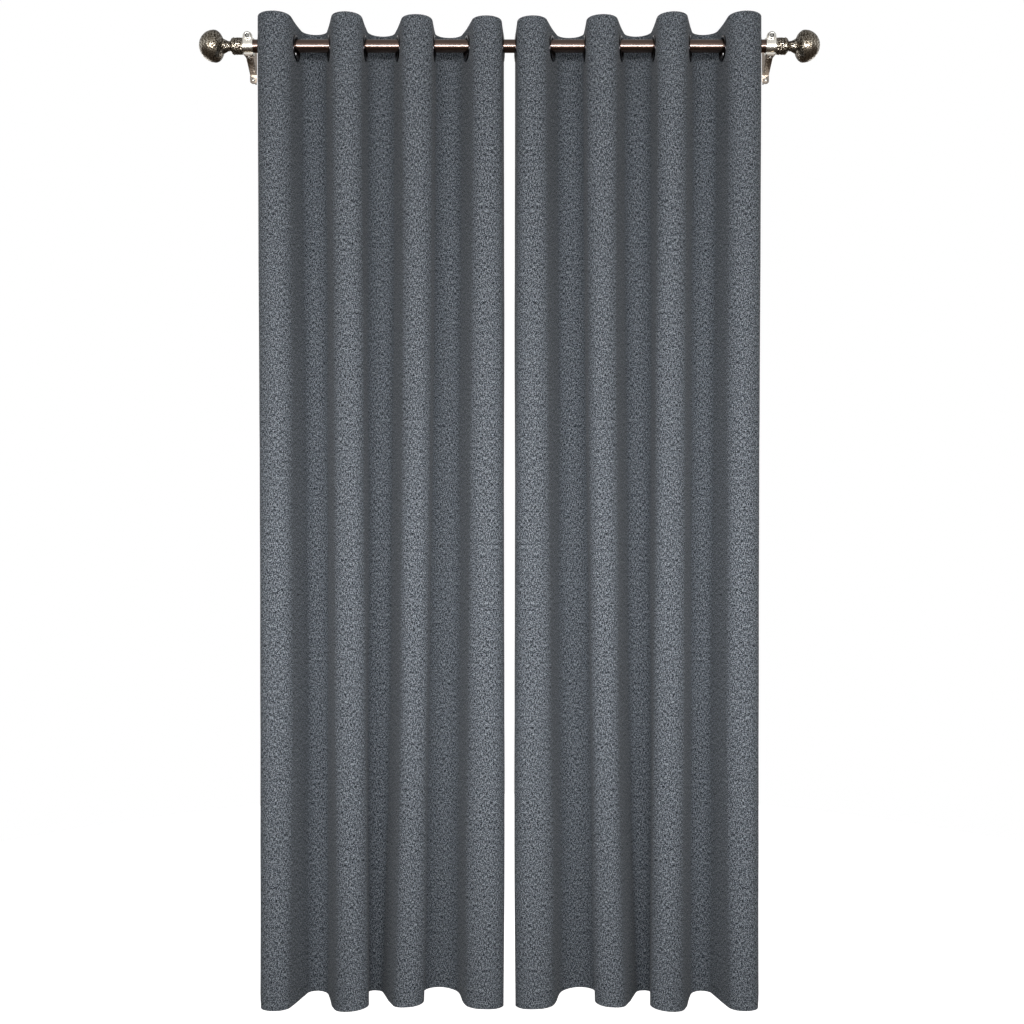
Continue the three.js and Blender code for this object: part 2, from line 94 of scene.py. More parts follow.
class ClothSettings(bpy.types.PropertyGroup):
    width: length_property("Flat width", 1320, "Finished width of one panel laid flat")
    length: length_property("Length", 2134, "Finished length from the top edge to the hem")
    thickness: length_property("Cloth", 1.0, "Thickness of one layer of the cloth")
    header_half: length_property("Half header", 1.7, "Half the thickness of the stiffened header")
    free_edge: length_property("Free edge", 45, "Cloth past the first and the last ring")
    hem: length_property("Bottom hem", 100, "Depth of the turned-up hem")
    side_hem: length_property("Side hem", 25, "Width of the turned-in side hems")
    header: length_property("Header", 104.6, "Depth of the turned-over header")
    hole: length_property("Ring hole", 23, "Radius of the hole behind each ring")
    column: length_property("Column", 5.5, "Width of a mesh cell across the cloth")
    row: length_property("Row", 15, "Height of a mesh cell below the header")
    stitch: length_property("Stitch", 2.9, "Length of one machine stitch")
    stitch_gap: length_property("Stitch gap", 1.1, "Gap between two machine stitches")
    yarn: colour_property("Yarn", "#666e77", "Slate yarn that fills most of the cloth")
    dark_yarn: colour_property("Dark fleck", "#12171e", "Near-black fibres of the melange")
    light_yarn: colour_property("Light fleck", "#cdd5de", "Pale fibres of the melange")
    thread: colour_property("Thread", "#5c6167", "Sewing thread")
    buckram: colour_property("Buckram", "#d9d6cd", "Stiffening tape inside the header")


class MetalSettings(bpy.types.PropertyGroup):
    ring_black: colour_property("Ring", "#343234", "Black nickel plate of the rings")
    tube_bronze: colour_property("Tube", "#79675f", "Pewter-bronze lacquer of the rod")
    bracket_nickel: colour_property("Bracket", "#dcd8cf", "Satin nickel plate of the brackets")
    # Darker and browner than the cradle's plate: painted shade on the down-facing arms.
    arm_nickel_painted_shade: colour_property("Arm", "#a59b91", "Duller nickel plate of the bracket arms")
    screw_steel: colour_property("Screw", "#c2c0bb", "Nickel plated screws")
    pewter: colour_property("Pewter", "#a0988a", "Rubbed high spots of the finials")
    # The patina tone also serves as the lighter end of the painted shade in the screw recesses.
    patina_and_recess_shade: colour_property("Patina", "#28221b", "Dark patina in the finials' hollows")
    plug: colour_property("Plug", "#222222", "Moulded plug inside the rod's ends")
    sides: IntProperty(name="Sides", description="Facets round a turned piece", default=96, min=12)


class StageSettings(bpy.types.PropertyGroup):
    distance: length_property("Camera distance", 2730, "From the rod to the camera")
    below_rod: length_property("Camera drop", 1013.7, "Camera below the rod's axis")
    lens: FloatProperty(name="Lens", description="Focal length in millimetres", default=44.1, min=1)
    shift: FloatProperty(name="Shift", description="Sideways shift that centres the rod", default=0.00244)
    floor_drop: length_property("Floor", 150, "Floor below the lowest hem")
    floor: colour_property("Floor", "#f4f3f1", "Pale floor paint")


def settings():
    return bpy.context.scene.curtain_cloth, bpy.context.scene.curtain_metal


# ------------------------------------------------------------------ places read from the frame


def middle(node):
    low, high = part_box(node)
    return (low + high) / 2


ROD_Y = middle("outer_tube").y
FABRIC_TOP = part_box("left_fabric")[1].z
FABRIC_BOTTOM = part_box("left_fabric")[0].z
RING_BACK_HALF = 2.9 * MM  # from the middle of the header to the middle of the back ring


def ring_frame(side, number):
    """Where a ring sits: its centre in the header, and its axis towards the room side of the cloth."""
    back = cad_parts[f"{side}_ring_{number}_back"]
    points = np.array([vertex.co for vertex in back.data.vertices], float)
    centre = (points.min(0) + points.max(0)) / 2
    spread = np.cov((points - centre).T)
    axis = np.linalg.eigh(spread)[1][:, 0]
    towards_face = np.array(middle(f"{side}_ring_{number}_front")) - centre
    axis = axis * np.sign(axis @ towards_face)
    return centre + axis * RING_BACK_HALF, axis


# ------------------------------------------------------------------ mesh helpers


SHARP = math.radians(40)  # edges bent more than this keep their corner


def finish_piece(name, points, faces, material, body, replaced=(), uv=None):
    """Makes a mesh object that rides on a body and stands for the given nodes."""
    mesh = bpy.data.meshes.new(name)
    mesh.from_pydata([tuple(p) for p in points], [], [tuple(f) for f in faces])
    mesh.validate()
    mesh.polygons.foreach_set("use_smooth", [True] * len(mesh.polygons))
    mesh.set_sharp_from_angle(angle=SHARP)
    if uv is not None:
        layer = mesh.uv_layers.new(name="cloth_metres")
        loops = np.zeros(len(mesh.loops), int)
        mesh.loops.foreach_get("vertex_index", loops)
        layer.data.foreach_set("uv", np.asarray(uv, float)[loops].ravel())
    mesh.materials.append(material)
    piece = bpy.data.objects.new(name, mesh)
    bpy.context.scene.collection.objects.link(piece)
    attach(piece, body)
    if replaced:
        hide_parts(*replaced)
    return piece


def soften(piece, width, angle=35):
    """Rounds a piece's edges and keeps its flats flat."""
    bevel = piece.modifiers.new("rounded edges", "BEVEL")
    bevel.width = width
    bevel.segments = 3
    bevel.limit_method = "ANGLE"
    bevel.angle_limit = math.radians(angle)
    bevel.harden_normals = True
    return piece


def perforated_shell(us, vs, place, holes=(), wrap=False):
    """A sheet with two faces and closed rims, as points, faces and flat coordinates.

    place(u, v, front) gives points for the front or the back face. Holes are ellipses
    (u, v, half width, half height) in the flat sheet."""
    columns, rows = len(us), len(vs)
    u, v = (grid.ravel() for grid in np.meshgrid(us, vs))
    index = np.arange(rows * columns).reshape(rows, columns)
    right = np.roll(index, -1, axis=1) if wrap else index[:, 1:]
    left = index if wrap else index[:, :-1]
    quads = np.stack([left[:-1], right[:-1], right[1:], left[1:]], axis=-1).reshape(-1, 4)
    span = us[1] - us[0]
    kept = np.ones(len(quads), bool)
    for hole_u, hole_v, half_u, half_v in holes:
        corner_u = u[quads[:, 0]] + span / 2
        corner_v = v[quads].mean(axis=1)
        inside = ((corner_u - hole_u) / half_u) ** 2 + ((corner_v - hole_v) / half_v) ** 2 < 1
        rim = np.intersect1d(quads[inside].ravel(), quads[kept & ~inside].ravel())
        angle = np.arctan2((v[rim] - hole_v) / half_v, (u[rim] - hole_u) / half_u)
        u[rim] = hole_u + half_u * np.cos(angle)
        v[rim] = hole_v + half_v * np.sin(angle)
        kept &= ~inside
    quads = quads[kept]
    edges = np.concatenate([quads[:, [i, (i + 1) % 4]] for i in range(4)])
    keys = set(map(tuple, edges.tolist()))
    rim_edges = [(a, b) for a, b in keys if (b, a) not in keys]
    count = rows * columns
    faces = quads.tolist() + (quads[:, ::-1] + count).tolist()
    faces += [(b, a, a + count, b + count) for a, b in sorted(rim_edges)]
    points = np.concatenate([place(u, v, True), place(u, v, False)])
    flat = np.concatenate([np.stack([u, v], axis=1)] * 2)
    used = np.unique(np.concatenate([np.array(f) for f in (quads.ravel(), quads.ravel() + count)]))
    renumber = np.zeros(2 * count, int)
    renumber[used] = np.arange(len(used))
    faces = [tuple(renumber[i] for i in face) for face in faces]
    return points[used], faces, flat[used]


def turned_mesh(profile, origin, axis, sides, shape=None, closed=False):
    """A turned piece. The profile lists (radius, height) along the axis. It starts and ends on the axis
    unless it is closed. shape(radius, height, angle) may change the radius and height of a point."""
    axis = Vector(axis).normalized()
    across = axis.orthogonal().normalized()
    third = axis.cross(across)
    angles = np.arange(sides) * 2 * math.pi / sides
    points, faces = [], []
    for radius, height in profile:
        for angle in angles:
            r, h = shape(radius, height, angle) if shape else (radius, height)
            spoke = across * math.cos(angle) + third * math.sin(angle)
            points.append(Vector(origin) + axis * h + spoke * r)
    rings = len(profile)
    for ring in range(rings if closed else rings - 1):
        low, high = ring * sides, (ring + 1) % rings * sides
        for i in range(sides):
            j = (i + 1) % sides
            faces.append((low + i, low + j, high + j, high + i))
    return points, faces


def arc(centre_r, centre_h, radius, start, end, steps):
    """Profile points round an arc, its angles in degrees from the radius towards the height."""
    return [
        (
            centre_r + radius * math.cos(math.radians(start + (end - start) * i / steps)),
            centre_h + radius * math.sin(math.radians(start + (end - start) * i / steps)),
        )
        for i in range(steps + 1)
    ]


# ------------------------------------------------------------------ materials


def add_node(tree, kind, inputs=None, **values):
    """Adds a node, sets its values, and links or sets its inputs."""
    made = tree.nodes.new(kind)
    for key, value in values.items():
        setattr(made, key, value)
    for socket, value in (inputs or {}).items():
        if isinstance(value, bpy.types.NodeSocket):
            tree.links.new(value, made.inputs[socket])
        else:
            made.inputs[socket].default_value = value
    return made


def new_material(name, **constants):
    """A material with its shader, whose unvarying values are set on the shader's own sockets."""
    material = bpy.data.materials.new(name)
    material.use_nodes = True
    shader = material.node_tree.nodes["Principled BSDF"]
    for socket, value in constants.items():
        shader.inputs[socket.replace("_", " ")].default_value = value
    return material, material.node_tree, shader


def ramp(tree, factor, *stops):
    """A colour ramp from (position, colour) pairs."""
    made = add_node(tree, "ShaderNodeValToRGB", {"Fac": factor})
    elements = made.color_ramp.elements
    while len(elements) < len(stops):
        elements.new(0.5)
    for element, (position, colour) in zip(elements, stops):
        element.position = position
        element.color = colour
    return made.outputs["Color"]


def grey(value):
    return (value, value, value, 1)


def mix_colours(tree, share, first, second, blend="MIX"):
    colours = {"Factor": share, "A": first, "B": second}
    return add_node(tree, "ShaderNodeMix", colours, data_type="RGBA", blend_type=blend).outputs["Result"]


def object_noise(tree, size, detail, stretch=1.0):
    """Noise fixed to the piece, its grains size metres wide and stretched along the rod."""
    place = add_node(tree, "ShaderNodeTexCoord").outputs["Object"]
    scale = (1 / size / stretch, 1 / size, 1 / size)
    scaled = add_node(tree, "ShaderNodeMapping", {"Vector": place, "Scale": scale}).outputs["Vector"]
    noisy = add_node(tree, "ShaderNodeTexNoise", {"Vector": scaled, "Scale": 1, "Detail": detail})
    return noisy.outputs["Fac"]


def dress(tree, shader, colour, roughness=None, height=None, strength=0.0, depth=0.0):
    """Links a finish's colour, its roughness and its raised surface to the shader."""
    tree.links.new(colour, shader.inputs["Base Color"])
    if roughness:
        tree.links.new(roughness, shader.inputs["Roughness"])
    if height:
        raised = add_node(tree, "ShaderNodeBump", {"Strength": strength, "Distance": depth, "Height": height})
        tree.links.new(raised.outputs["Normal"], shader.inputs["Normal"])


def melange_linen(cloth):
    """Polyester linen look, woven from slubby melange yarn.

    Light and near-black fibres are spun into the slate yarn, so the cloth reads as short upright
    streaks crossed by fine flecks. A real thread is 0.4 mm, too fine for the view, so the slubs are drawn
    1.6 mm wide."""
    material, tree, shader = new_material(
        "slubby melange linen weave", Sheen_Weight=0.12, Sheen_Roughness=0.5, Specular_IOR_Level=0.25
    )
    flat = add_node(tree, "ShaderNodeUVMap", uv_map="cloth_metres").outputs["UV"]

    def threads(across, along, detail, seed):
        """Noise stretched into threads, from their width and length in metres."""
        size = {"Vector": flat, "Scale": (1 / across, 1 / along, 1), "Location": seed}
        scaled = add_node(tree, "ShaderNodeMapping", size).outputs["Vector"]
        look = {"Vector": scaled, "Scale": 1, "Detail": detail, "Roughness": 0.6}
        return add_node(tree, "ShaderNodeTexNoise", look).outputs["Fac"]

    def blend(share, first, second):
        return add_node(tree, "ShaderNodeMix", {"Factor": share, "A": first, "B": second}).outputs["Result"]

    warp = threads(1.6 * MM, 7 * MM, 1, (3.1, 0, 0))
    weft = threads(5.5 * MM, 1.6 * MM, 1, (0, 7.7, 0))
    grain = threads(1.4 * MM, 2.0 * MM, 0, (5, 5, 0))
    bands = threads(26 * MM, 900 * MM, 2, (1, 2, 0))
    woven = blend(0.4, blend(0.33, warp, weft), grain)
    colour = ramp(
        tree, woven,
        (0.425, cloth.dark_yarn), (0.483, cloth.yarn), (0.517, cloth.yarn), (0.58, cloth.light_yarn),
    )
    tone = ramp(tree, bands, (0.3, grey(0.93)), (0.7, grey(1.0)))
    banded = mix_colours(tree, 1.0, colour, tone, "MULTIPLY")
    rough = ramp(tree, woven, (0.4, grey(0.98)), (0.6, grey(0.86)))
    dress(tree, shader, banded, rough, woven, 0.35, 0.35 * MM)
    return material


def stiff_buckram(cloth):
    """Starched open-weave cotton buckram: crossed pale threads about 1.2 mm apart."""
    material, tree, shader = new_material("starched buckram weave", Roughness=0.85)
    flat = add_node(tree, "ShaderNodeUVMap", uv_map="cloth_metres").outputs["UV"]
    wave_scale = 1 / (1.2 * MM * 6.3)
    heights = []
    for turn in (0.0, math.pi / 2):
        turned = add_node(tree, "ShaderNodeMapping", {"Vector": flat, "Rotation": (0, 0, turn)})
        wave = add_node(tree, "ShaderNodeTexWave", {"Vector": turned.outputs["Vector"], "Scale": wave_scale})
        heights.append(wave.outputs["Fac"])
    woven = add_node(tree, "ShaderNodeMath", {0: heights[0], 1: heights[1]}, operation="MAXIMUM").outputs[0]
    shade = ramp(tree, woven, (0.2, srgb("#a9a598")), (0.8, cloth.buckram))
    dress(tree, shader, shade, None, woven, 0.5, 0.2 * MM)
    return material


def sewing_thread(cloth):
    """Spun polyester sewing thread, twisted, so it shows fine slanting lights."""
    material, tree, shader = new_material("spun sewing thread", Roughness=0.75, Sheen_Weight=0.2)
    twist = object_noise(tree, 0.6 * MM, 1)
    dress(tree, shader, ramp(tree, twist, (0.35, srgb("#454a50")), (0.65, cloth.thread)))
    return material


def plated_metal(name, colour, roughness, spread, grain, streak=1.0, dark=0.8, bump=0.12):
    """A metal whose finish wanders a little.

    Its tone falls to the share dark in cloudy patches, its roughness wanders by spread, and its surface
    grain is in metres, drawn out along the rod by streak."""
    material, tree, shader = new_material(name, Metallic=1.0)
    fine = object_noise(tree, grain, 3, streak)
    cloudy = object_noise(tree, 30 * MM, 2)
    dull = tuple(c * dark for c in colour[:3]) + (1,)
    tone = ramp(tree, cloudy, (0.3, dull), (0.7, tuple(colour)))
    rough = ramp(tree, fine, (0.3, grey(roughness - spread)), (0.7, grey(roughness + spread)))
    dress(tree, shader, tone, rough, fine, bump, 0.05 * MM)
    return material


def black_nickel(metal):
    """Black nickel electroplate on stamped rings: deep, smooth and mirror-like at the rim."""
    return plated_metal("black nickel plate", metal.ring_black, 0.2, 0.06, 0.8 * MM)


def lacquered_tube(metal):
    """Rolled steel tube, bronze-tinted and lacquered: satin, with faint lines along the rolling."""
    return plated_metal("lacquered bronze tube", metal.tube_bronze, 0.22, 0.03, 0.5 * MM, 60, 0.9, 0.03)


def satin_nickel(metal):
    """Nickel plate over a strap that was brushed along its length, so it glows rather than mirrors."""
    return plated_metal("brushed satin nickel", metal.bracket_nickel, 0.26, 0.03, 0.6 * MM, 0.2, 0.85, 0.02)


def shaded_arm_nickel(metal):
    """The same plate on the arms, duller, and darker and browner as painted shade on the down-facing arm,
    with soft streaks down the strap.
    """
    return plated_metal("satin nickel with painted shade", metal.arm_nickel_painted_shade, 0.28, 0.04, 2.5 * MM, 0.3, 0.75, 0.02)


def turned_steel(metal):
    """Nickel plated screws, turned and tumbled: bright, with soft round tool marks."""
    return plated_metal("nickel plated steel", metal.screw_steel, 0.28, 0.06, 0.35 * MM, 1.0, 0.9)


def recess_painted_shade(metal):
    """Painted shade for the inside of a screw's recess: dull and nearly black."""
    material, tree, shader = new_material("painted shade in a screw recess", Roughness=0.8, Specular_IOR_Level=0.2)
    shade_mottle = object_noise(tree, 0.9 * MM, 2)
    dress(tree, shader, ramp(tree, shade_mottle, (0.35, srgb("#0b0a09")), (0.65, metal.patina_and_recess_shade)))
    return material


def antique_pewter(metal, name="antique pewter casting"):
    """Cast pewter finish, blackened and then rubbed back: bright on the relief, dark in its hollows.

    The relief attribute holds the height of the carving, from 0 in a hollow to 1 on a crest."""
    material, tree, shader = new_material(name, Metallic=0.92)
    relief = add_node(tree, "ShaderNodeAttribute", attribute_name="relief").outputs["Fac"]
    pits = object_noise(tree, 2.2 * MM, 4)
    worn = add_node(tree, "ShaderNodeMix", {"Factor": 0.6, "A": pits, "B": relief}).outputs["Result"]
    colour = ramp(
        tree, worn,
        (0.34, metal.patina_and_recess_shade), (0.48, srgb("#665d50")), (0.62, metal.pewter), (0.85, srgb("#d2cbc0")),
    )
    rough = ramp(tree, worn, (0.35, grey(0.5)), (0.7, grey(0.2)))
    dress(tree, shader, colour, rough, pits, 0.35, 0.25 * MM)
    return material


def moulded_nylon(metal):
    """Injection moulded nylon: an even black with the fine texture of a spark-eroded mould."""
    material, tree, shader = new_material("moulded nylon", Specular_IOR_Level=0.45)
    sparks = object_noise(tree, 0.7 * MM, 2)
    tone = ramp(tree, sparks, (0.3, srgb("#1a1a1a")), (0.7, metal.plug))
    dress(tree, shader, tone, ramp(tree, sparks, (0.3, grey(0.5)), (0.7, grey(0.7))))
    return material


# ------------------------------------------------------------------ folds

# How each ring's line across the cloth wanders from its ring on the way down, in millimetres along
# the rod, half way down and at the hem. The folds stand plumb near the rod and relax below it.
WANDER_HALF = np.array([2, 6, 5, 3, -4, -9, -6, 2]) * MM
WANDER_HEM = np.array([-2, 5, 4, 7, -20, -24, -11, 2]) * MM
HEADER_LEAN = np.radians([0, -4, 4, -8, 4, -9, 5, 0])  # the folds lie over a little, away from the gap
HEM_TILT = np.radians([12, 12, 16, -7, 17, -5, 13, 0])  # lean of the flanks at the hem
# The hem's rise over a straight hem, at each ring's line and at the crests and edges between them.
HEM_RISE = np.array([0, 0, 0, 0, -2, -10, -2, 4, -3, 0, 8, 13, 9, 2, 3, -3, -4]) * MM
HEM_BACK = 8 * MM  # the hem hangs this far behind the rod
HEM_LIFT = 7 * MM  # a front fold's hem rises this much
HEM_SINK = 2 * MM  # and a back fold's hem sinks this much
EDGE_DIP = np.array([1.5, 1, 3.5, 5, 9.5, 8, 12.5]) * MM  # how far the top edge sinks at each crest
SHOULDER = 2.5 * MM  # and between the crests, where the edge is pulled towards the rings


def ring_lines(cloth):
    """The left panel's rings as arrays: place along the rod, lean of the flank, place across the cloth."""
    places = [ring_frame("left", number) for number in range(1, RINGS + 1)]
    x = np.array([centre[0] for centre, _ in places])
    tilt = np.array([math.asin(-axis[1]) for _, axis in places])
    flat = np.linspace(cloth.free_edge, cloth.width - cloth.free_edge, RINGS)
    return x, tilt, flat


def solve_crest(pitch, spacing, start_tilt, end_tilt):
    """The two flanks and the radius of a fold that takes up its cloth exactly between two rings."""
    equations = [
        [math.sin(start_tilt), math.sin(end_tilt), math.cos(start_tilt) + math.cos(end_tilt)],
        [1, 1, math.pi - start_tilt - end_tilt],
        [math.cos(start_tilt), -math.cos(end_tilt), math.sin(end_tilt) - math.sin(start_tilt)],
    ]
    return np.linalg.solve(equations, [pitch, spacing, 0])


def fold_points(u, x, tilt, flat):
    """Where cloth at flat distances u lies, seen from above: x, y from the rod, and the room-side normal."""
    px, py, nx, ny = (np.zeros_like(u) for _ in range(4))
    for edge, before, sign in ((0, u < flat[0], -1), (-1, u >= flat[-1], 1)):
        run = np.abs(u[before] - flat[edge])
        px[before] = x[edge] + sign * run * math.sin(tilt[edge])
        py[before] = run * math.cos(tilt[edge])
        nx[before], ny[before] = sign * math.cos(tilt[edge]), -math.sin(tilt[edge])
    for k in range(RINGS - 1):
        a, b, front = tilt[k], tilt[k + 1], (-1 if k % 2 == 0 else 1)
        spacing = flat[k + 1] - flat[k]
        flank_a, flank_b, radius = solve_crest(x[k + 1] - x[k], spacing, a, b)
        here = (u >= flat[k]) & (u < flat[k + 1])
        run = u[here] - flat[k]
        angle = np.clip(math.pi - a - (run - flank_a) / radius, b, math.pi - a)
        centre_x = x[k] + flank_a * math.sin(a) + radius * math.cos(a)
        centre_y = flank_a * math.cos(a) - radius * math.sin(a)
        lead = np.minimum(run - flank_a, 0)
        trail = np.maximum(run - (spacing - flank_b), 0)
        px[here] = centre_x + radius * np.cos(angle) + lead * math.sin(a) + trail * math.sin(b)
        out = centre_y + radius * np.sin(angle) + lead * math.cos(a) - trail * math.cos(b)
        py[here] = front * out
        nx[here], ny[here] = -front * np.cos(angle), -np.sin(angle)
    return px, py, nx, ny


class PanelShape:
    """Places cloth of the left panel in space from its flat coordinates."""

    def __init__(self, cloth):
        self.cloth = cloth
        self.x, self.tilt, self.flat = ring_lines(cloth)
        self.tilt = self.tilt + HEADER_LEAN
        self.header_bottom = FABRIC_TOP - cloth.header
        self.drop = self.header_bottom - FABRIC_BOTTOM

    def fallen(self, z):
        """0 in the header, rising to 1 at the hem."""
        return np.clip((self.header_bottom - z) / self.drop, 0, 1) ** 1.2

    def wrinkle(self, u, z, share):
        """Soft creases in the hanging cloth, in metres along its normal."""
        broad = noise.fractal(Vector((u / 0.05, z / 0.45, 3.7)), 1.0, 2.0, 2)
        narrow = noise.fractal(Vector((u / 0.017, z / 0.2, 9.1)), 1.0, 2.0, 2)
        return (1.1 * broad + 0.35 * narrow) * MM * min(1.0, share * 6)

    def row(self, u, z, offsets):
        """Points of one row of cloth at height z, at the given offsets towards the room."""
        share = float(self.fallen(z))
        drift = WANDER_HALF * 4 * share * (1 - share) + WANDER_HEM * share * (2 * share - 1)
        sway = 1.3 * MM * share * np.sin(z * 5.1 + np.arange(RINGS) * 2.3)
        tilt = self.tilt + (HEM_TILT - self.tilt) * share
        px, py, nx, ny = fold_points(u, self.x + drift + sway, tilt, self.flat)
        if share > 0:
            offsets = offsets + np.array([self.wrinkle(value, z, share) for value in u])
        front = -py / np.abs(py).max()
        lift = share ** 4 * (HEM_LIFT * np.maximum(front, 0) - HEM_SINK * np.maximum(-front, 0))
        above_rod = max(0.0, z - 0.02) / (FABRIC_TOP - 0.02)
        crests = (self.flat[1:] + self.flat[:-1]) / 2
        shoulder = SHOULDER * np.cos(math.pi * (u - self.flat[0]) / (self.flat[1] - self.flat[0])) ** 4
        height = z + lift - (np.interp(u, crests, EDGE_DIP) + shoulder) * above_rod
        stations = np.concatenate([[0], np.sort(np.concatenate([self.flat, crests])), [self.cloth.width]])
        height = height + np.interp(u, stations, HEM_RISE) * share ** 6
        back = ROD_Y + HEM_BACK * share ** 2 + py
        return np.stack([px + nx * offsets, back + ny * offsets, height], axis=1)

    def points(self, u, z, offsets):
        """Points of cloth at many heights."""
        placed = np.zeros((len(u), 3))
        for height in np.unique(z):
            row = z == height
            placed[row] = self.row(u[row], height, offsets[row])
        return placed


def both_panels(name, points, faces, material, stands_for=None, flat=None):
    """The left panel's piece and its mirror image on the right panel."""
    pieces = {}
    for side, sign in SIDES.items():
        placed = points if sign < 0 else points * np.array([-1, 1, 1])
        turned = faces if sign < 0 else [tuple(reversed(face)) for face in faces]
        replaced = [f"{side}_{stands_for}"] if stands_for else ()
        pieces[side] = finish_piece(f"{side}_{name}", placed, turned, material, ROOT, replaced, flat)
    return pieces


def cloth_rows(cloth, header_bottom, hem_top):
    """Heights of the mesh rows: close in the header and at the seams, wide on the hanging cloth."""
    half = cloth.header_half
    rolled = FABRIC_TOP - half + half * np.sin(np.radians([90, 75, 55, 30, 0]))
    header = np.linspace(FABRIC_TOP - 2.2 * half, header_bottom + 4 * MM, 20)
    seam = header_bottom + np.array([2.6, 1.5, 0.4, -0.4]) * MM
    count = int((header_bottom - hem_top) / cloth.row)
    hanging = np.linspace(header_bottom - 8 * MM, hem_top + 4 * MM, count)
    hem = [hem_top + 0.6 * MM, hem_top - 0.4 * MM, hem_top - 3 * MM]
    turned_up = np.linspace(hem_top - 12 * MM, FABRIC_BOTTOM + 3 * MM, 7)
    fold = FABRIC_BOTTOM + cloth.thickness * (1 - np.sin(np.radians([0, 30, 55, 75, 90])))
    return np.concatenate([rolled, header, seam, hanging, hem, turned_up, fold])


def cloth_columns(cloth):
    """Flat distances of the mesh columns."""
    return np.linspace(0, cloth.width, round(cloth.width / cloth.column) + 1)


def cloth_offsets(cloth, header_bottom, hem_top):
    """How far the two faces of the cloth stand from the fold line, by place."""
    half, layer = cloth.header_half, cloth.thickness

    def offsets(u, z, front):
        in_header = z > header_bottom
        side = np.minimum(u, cloth.width - u) < cloth.side_hem
        doubled = (z < hem_top) | side
        face = np.full_like(u, half)
        back = np.where(in_header, -half, np.where(doubled, half - 2 * layer, half - layer))
        seam = np.abs(z - header_bottom - 1.5 * MM) < 0.5 * MM
        face = face - np.where(seam, 0.4 * MM, 0)
        back = back + np.where(seam, 0.9 * MM, 0)
        middle_of = (face + back) / 2
        top_share = np.clip((z - (FABRIC_TOP - half)) / half, 0, 0.985)
        low_share = np.clip((FABRIC_BOTTOM + layer - z) / layer, 0, 0.985)
        edge = np.minimum(u, cloth.width - u) < 1e-6
        keep = np.sqrt(1 - top_share ** 2) * np.sqrt(1 - low_share ** 2) * np.where(edge, 0.5, 1)
        return middle_of + ((face if front else back) - middle_of) * keep

    return offsets


def ring_holes(cloth, shape):
    height = ring_frame("left", 1)[0][2]
    return [(u, height, cloth.hole, cloth.hole) for u in shape.flat]


def build_cloth(cloth):
    """Both panels, as one closed sheet each with its header, hems and ring holes."""
    shape = PanelShape(cloth)
    header_bottom, hem_top = shape.header_bottom, FABRIC_BOTTOM + cloth.hem
    offsets = cloth_offsets(cloth, header_bottom, hem_top)

    def place(u, z, front):
        return shape.points(u, z, offsets(u, z, front))

    points, faces, flat = perforated_shell(
        cloth_columns(cloth), cloth_rows(cloth, header_bottom, hem_top), place, ring_holes(cloth, shape)
    )
    return both_panels(
        "panel_cloth", points, faces, melange_linen(cloth), "fabric", flat
    )


def build_stiffener(cloth):
    """The buckram strips that keep the headers upright, inside the turned-over cloth."""
    shape = PanelShape(cloth)
    low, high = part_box("left_header_stiffener")
    inset = 6 * MM
    columns = np.linspace(inset, cloth.width - inset, 200)
    rows = np.linspace(high.z, low.z, 19)
    half = 0.4 * MM

    def place(u, z, front):
        return shape.points(u, z, np.full_like(u, half if front else -half))

    points, faces, flat = perforated_shell(columns, rows, place, ring_holes(cloth, shape))
    return both_panels(
        "header_buckram", points, faces, stiff_buckram(cloth), "header_stiffener", flat
    )


def stitch(start, end, outward, radius):
    """One machine stitch: a six-sided spindle that dips into the cloth at both ends."""
    run = end - start
    sideways = np.cross(run, outward)
    sideways /= np.linalg.norm(sideways)
    points = [start - outward * radius * 0.6]
    for share in (0.2, 0.8):
        for step in range(6):
            angle = step * math.pi / 3
            swing = sideways * math.cos(angle) + outward * math.sin(angle) * 0.8
            points.append(start + run * share + swing * radius)
    points.append(end - outward * radius * 0.6)
    faces = [(0, 1 + (i + 1) % 6, 1 + i) for i in range(6)]
    faces += [(1 + i, 1 + (i + 1) % 6, 7 + (i + 1) % 6, 7 + i) for i in range(6)]
    faces += [(13, 7 + i, 7 + (i + 1) % 6) for i in range(6)]
    return points, faces


def stitch_lines(cloth, shape):
    """Every seam as (flat points along it, whether it shows on the room side)."""
    step = cloth.stitch + cloth.stitch_gap
    across = np.arange(step, cloth.width - step, step)
    hem_top = FABRIC_BOTTOM + cloth.hem
    down = np.arange(FABRIC_BOTTOM + 6 * MM, shape.header_bottom, step)
    lines = []
    for front in (True, False):
        lines.append((across, np.full_like(across, shape.header_bottom + 1.5 * MM), (1, 0), front))
        lines.append((across, np.full_like(across, hem_top - 3 * MM), (1, 0), front))
        for u in (cloth.side_hem - 3 * MM, cloth.width - cloth.side_hem + 3 * MM):
            lines.append((np.full_like(down, u), down, (0, 1), front))
    return lines


def build_stitching(cloth):
    """Header, hem and side seams, one mesh of stitches to a panel."""
    shape = PanelShape(cloth)
    hem_top = FABRIC_BOTTOM + cloth.hem
    offsets = cloth_offsets(cloth, shape.header_bottom, hem_top)
    radius = 0.28 * MM
    points, faces = [], []
    for u, z, (along_u, along_z), front in stitch_lines(cloth, shape):
        reach = cloth.stitch
        base = offsets(u, z, front)
        starts = shape.points(u, z, base)
        ends = shape.points(u + along_u * reach, z + along_z * reach, base)
        lifted = shape.points(u, z, base + (MM if front else -MM))
        for start, end, above in zip(starts, ends, lifted):
            outward = (above - start) / np.linalg.norm(above - start)
            made, sides = stitch(start, end, outward, radius)
            faces += [tuple(i + len(points) for i in face) for face in sides]
            points += made
    return both_panels(
        "panel_stitching", np.array(points), faces, sewing_thread(cloth)
    )


# ------------------------------------------------------------------ rings and rod


